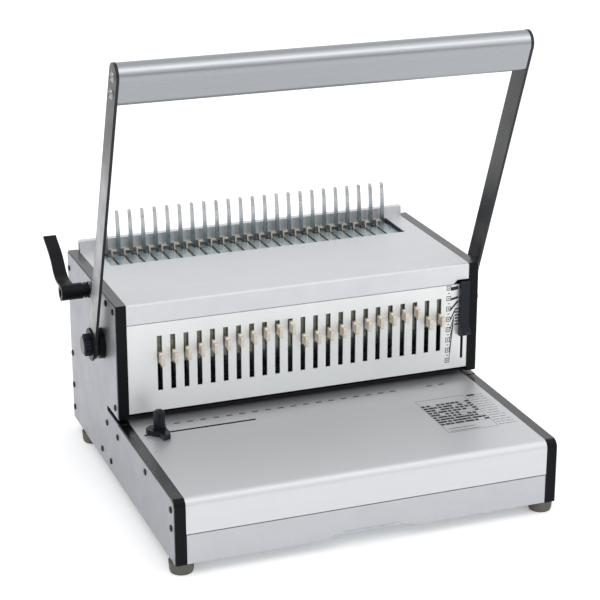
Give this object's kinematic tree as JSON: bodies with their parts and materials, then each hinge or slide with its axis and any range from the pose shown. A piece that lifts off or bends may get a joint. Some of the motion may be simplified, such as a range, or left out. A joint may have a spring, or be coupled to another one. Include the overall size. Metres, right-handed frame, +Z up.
{
  "type": "comb binding machine",
  "caption": "Manual desktop machine that punches comb holes with a long pull-down handle and opens plastic combs on a row of upright tines with a side lever.",
  "frame": {"origin": "on the table, midway between the two side plates and within 4 mm of the middle of the machine's overall width and depth", "axes": "+X to the operator's right, +Y to the rear, +Z up"},
  "size_m": [0.4616, 0.3876, 0.476],
  "materials": {
    "plate_black": "satin black powder coat",
    "skin_silver": "fine silver powder coat",
    "cover_silver": "fine silver powder coat",
    "panel_silver": "fine silver powder coat with a printed margin scale",
    "drawer_silver": "fine silver powder coat",
    "bed_aluminium": "brushed and anodised, with printed guide marks",
    "bar_aluminium": "brushed and anodised along its length",
    "frame_zinc": "zinc plated",
    "foot_rubber": "matt",
    "screw_black": "black oxide",
    "screw_chrome": "polished",
    "die_steel": "ground",
    "bright_steel": "ground and polished",
    "carriage_steel": "oiled, olive grey",
    "black_nylon": "moulded",
    "knob_plastic": "semi gloss",
    "guide_plastic": "moulded, fine grain",
    "lever_black": "satin black paint",
    "arm_black": "satin black powder coat",
    "zinc_plate": "blue-grey zinc plate",
    "zinc_tine": "bright zinc plate",
    "hook_nickel": "pale nickel plate",
    "clip_nickel": "champagne nickel plate"
  },
  "bodies": {
    "frame": {"left_side_plate": "plate_black", "right_side_plate": "plate_black", "left_side_skin": "skin_silver", "right_side_skin": "skin_silver", "base_plate": "frame_zinc", "bed_cover": "bed_aluminium", "front_panel": "panel_silver", "top_cover": "cover_silver", "rear_cover": "cover_silver", "feet": "foot_rubber", "side_screws": "screw_black", "drawer_rails": "frame_zinc", "die_block": "die_steel", "punch_guide": "die_steel", "guide_posts": "bright_steel", "top_brace": "frame_zinc", "shaft_bushings": "black_nylon", "comb_plate": "zinc_plate", "comb_tines": "zinc_tine"},
    "handle": {"handle_shaft": "bright_steel", "left_handle_arm": "arm_black", "right_handle_arm": "arm_black", "handle_bar": "bar_aluminium", "handle_screws": "screw_chrome", "hub_discs": "black_nylon", "hub_knobs": "knob_plastic"},
    "punch_carriage": {"pressure_bar": "carriage_steel", "punch_pins": "bright_steel"},
    "lever": {"lever_shaft": "bright_steel", "lever_hub": "lever_black", "comb_lever": "lever_black"},
    "hooks": {"hook_carriage": "hook_nickel"},
    "margin": {"margin_slider": "knob_plastic"},
    "stop": {"depth_stop": "die_steel"},
    "side_guide": {"edge_guide": "guide_plastic", "guide_knob": "guide_plastic"},
    "drawer": {"waste_drawer": "drawer_silver"},
    "clip_01_body": {"clip_01": "clip_nickel"},
    "clip_02_body": {"clip_02": "clip_nickel"},
    "clip_03_body": {"clip_03": "clip_nickel"},
    "clip_04_body": {"clip_04": "clip_nickel"},
    "clip_05_body": {"clip_05": "clip_nickel"},
    "clip_06_body": {"clip_06": "clip_nickel"},
    "clip_07_body": {"clip_07": "clip_nickel"},
    "clip_08_body": {"clip_08": "clip_nickel"},
    "clip_09_body": {"clip_09": "clip_nickel"},
    "clip_10_body": {"clip_10": "clip_nickel"},
    "clip_11_body": {"clip_11": "clip_nickel"},
    "clip_12_body": {"clip_12": "clip_nickel"},
    "clip_13_body": {"clip_13": "clip_nickel"},
    "clip_14_body": {"clip_14": "clip_nickel"},
    "clip_15_body": {"clip_15": "clip_nickel"},
    "clip_16_body": {"clip_16": "clip_nickel"},
    "clip_17_body": {"clip_17": "clip_nickel"},
    "clip_18_body": {"clip_18": "clip_nickel"},
    "clip_19_body": {"clip_19": "clip_nickel"},
    "clip_20_body": {"clip_20": "clip_nickel"},
    "clip_21_body": {"clip_21": "clip_nickel"},
    "clip_22_body": {"clip_22": "clip_nickel"},
    "clip_23_body": {"clip_23": "clip_nickel"}
  },
  "joints": [
    {"name": "handle_pull", "type": "hinge", "parent": "frame", "child": "handle", "pos_m": [0, 0.0545, 0.152], "axis": [1, 0, 0], "range_deg": [0, 62]},
    {"name": "punch_slide", "type": "slide", "parent": "frame", "child": "punch_carriage", "axis": [0, 0, -1], "range_m": [0, 0.0134]},
    {"name": "lever_push", "type": "hinge", "parent": "frame", "child": "lever", "pos_m": [0, 0.103, 0.195], "axis": [-1, 0, 0], "range_deg": [0, 70]},
    {"name": "hook_slide", "type": "slide", "parent": "frame", "child": "hooks", "axis": [0, -1, 0], "range_m": [0, 0.023]},
    {"name": "margin_slide", "type": "slide", "parent": "frame", "child": "margin", "axis": [0, 0, -1], "range_m": [0, 0.024]},
    {"name": "stop_slide", "type": "slide", "parent": "frame", "child": "stop", "axis": [0, -1, 0], "range_m": [0, 0.0031]},
    {"name": "side_guide_slide", "type": "slide", "parent": "frame", "child": "side_guide", "axis": [1, 0, 0], "range_m": [0, 0.095]},
    {"name": "drawer_slide", "type": "slide", "parent": "frame", "child": "drawer", "axis": [0, -1, 0], "range_m": [0, 0.17]},
    {"name": "clip_01_pull", "type": "slide", "parent": "punch_carriage", "child": "clip_01_body", "axis": [0, -1, 0], "range_m": [0, 0.004]},
    {"name": "clip_02_pull", "type": "slide", "parent": "punch_carriage", "child": "clip_02_body", "axis": [0, -1, 0], "range_m": [0, 0.004]},
    {"name": "clip_03_pull", "type": "slide", "parent": "punch_carriage", "child": "clip_03_body", "axis": [0, -1, 0], "range_m": [0, 0.004]},
    {"name": "clip_04_pull", "type": "slide", "parent": "punch_carriage", "child": "clip_04_body", "axis": [0, -1, 0], "range_m": [0, 0.004]},
    {"name": "clip_05_pull", "type": "slide", "parent": "punch_carriage", "child": "clip_05_body", "axis": [0, -1, 0], "range_m": [0, 0.004]},
    {"name": "clip_06_pull", "type": "slide", "parent": "punch_carriage", "child": "clip_06_body", "axis": [0, -1, 0], "range_m": [0, 0.004]},
    {"name": "clip_07_pull", "type": "slide", "parent": "punch_carriage", "child": "clip_07_body", "axis": [0, -1, 0], "range_m": [0, 0.004]},
    {"name": "clip_08_pull", "type": "slide", "parent": "punch_carriage", "child": "clip_08_body", "axis": [0, -1, 0], "range_m": [0, 0.004]},
    {"name": "clip_09_pull", "type": "slide", "parent": "punch_carriage", "child": "clip_09_body", "axis": [0, -1, 0], "range_m": [0, 0.004]},
    {"name": "clip_10_pull", "type": "slide", "parent": "punch_carriage", "child": "clip_10_body", "axis": [0, -1, 0], "range_m": [0, 0.004]},
    {"name": "clip_11_pull", "type": "slide", "parent": "punch_carriage", "child": "clip_11_body", "axis": [0, -1, 0], "range_m": [0, 0.004]},
    {"name": "clip_12_pull", "type": "slide", "parent": "punch_carriage", "child": "clip_12_body", "axis": [0, -1, 0], "range_m": [0, 0.004]},
    {"name": "clip_13_pull", "type": "slide", "parent": "punch_carriage", "child": "clip_13_body", "axis": [0, -1, 0], "range_m": [0, 0.004]},
    {"name": "clip_14_pull", "type": "slide", "parent": "punch_carriage", "child": "clip_14_body", "axis": [0, -1, 0], "range_m": [0, 0.004]},
    {"name": "clip_15_pull", "type": "slide", "parent": "punch_carriage", "child": "clip_15_body", "axis": [0, -1, 0], "range_m": [0, 0.004]},
    {"name": "clip_16_pull", "type": "slide", "parent": "punch_carriage", "child": "clip_16_body", "axis": [0, -1, 0], "range_m": [0, 0.004]},
    {"name": "clip_17_pull", "type": "slide", "parent": "punch_carriage", "child": "clip_17_body", "axis": [0, -1, 0], "range_m": [0, 0.004]},
    {"name": "clip_18_pull", "type": "slide", "parent": "punch_carriage", "child": "clip_18_body", "axis": [0, -1, 0], "range_m": [0, 0.004]},
    {"name": "clip_19_pull", "type": "slide", "parent": "punch_carriage", "child": "clip_19_body", "axis": [0, -1, 0], "range_m": [0, 0.004]},
    {"name": "clip_20_pull", "type": "slide", "parent": "punch_carriage", "child": "clip_20_body", "axis": [0, -1, 0], "range_m": [0, 0.004]},
    {"name": "clip_21_pull", "type": "slide", "parent": "punch_carriage", "child": "clip_21_body", "axis": [0, -1, 0], "range_m": [0, 0.004]},
    {"name": "clip_22_pull", "type": "slide", "parent": "punch_carriage", "child": "clip_22_body", "axis": [0, -1, 0], "range_m": [0, 0.004]},
    {"name": "clip_23_pull", "type": "slide", "parent": "punch_carriage", "child": "clip_23_body", "axis": [0, -1, 0], "range_m": [0, 0.004]}
  ],
  "couplings": [
    {"joint": "punch_slide", "follows": "handle_pull", "m_per_rad": 0.012375},
    {"joint": "hook_slide", "follows": "lever_push", "m_per_rad": 0.018779},
    {"joint": "stop_slide", "follows": "margin_slide", "ratio": 0.125}
  ]
}
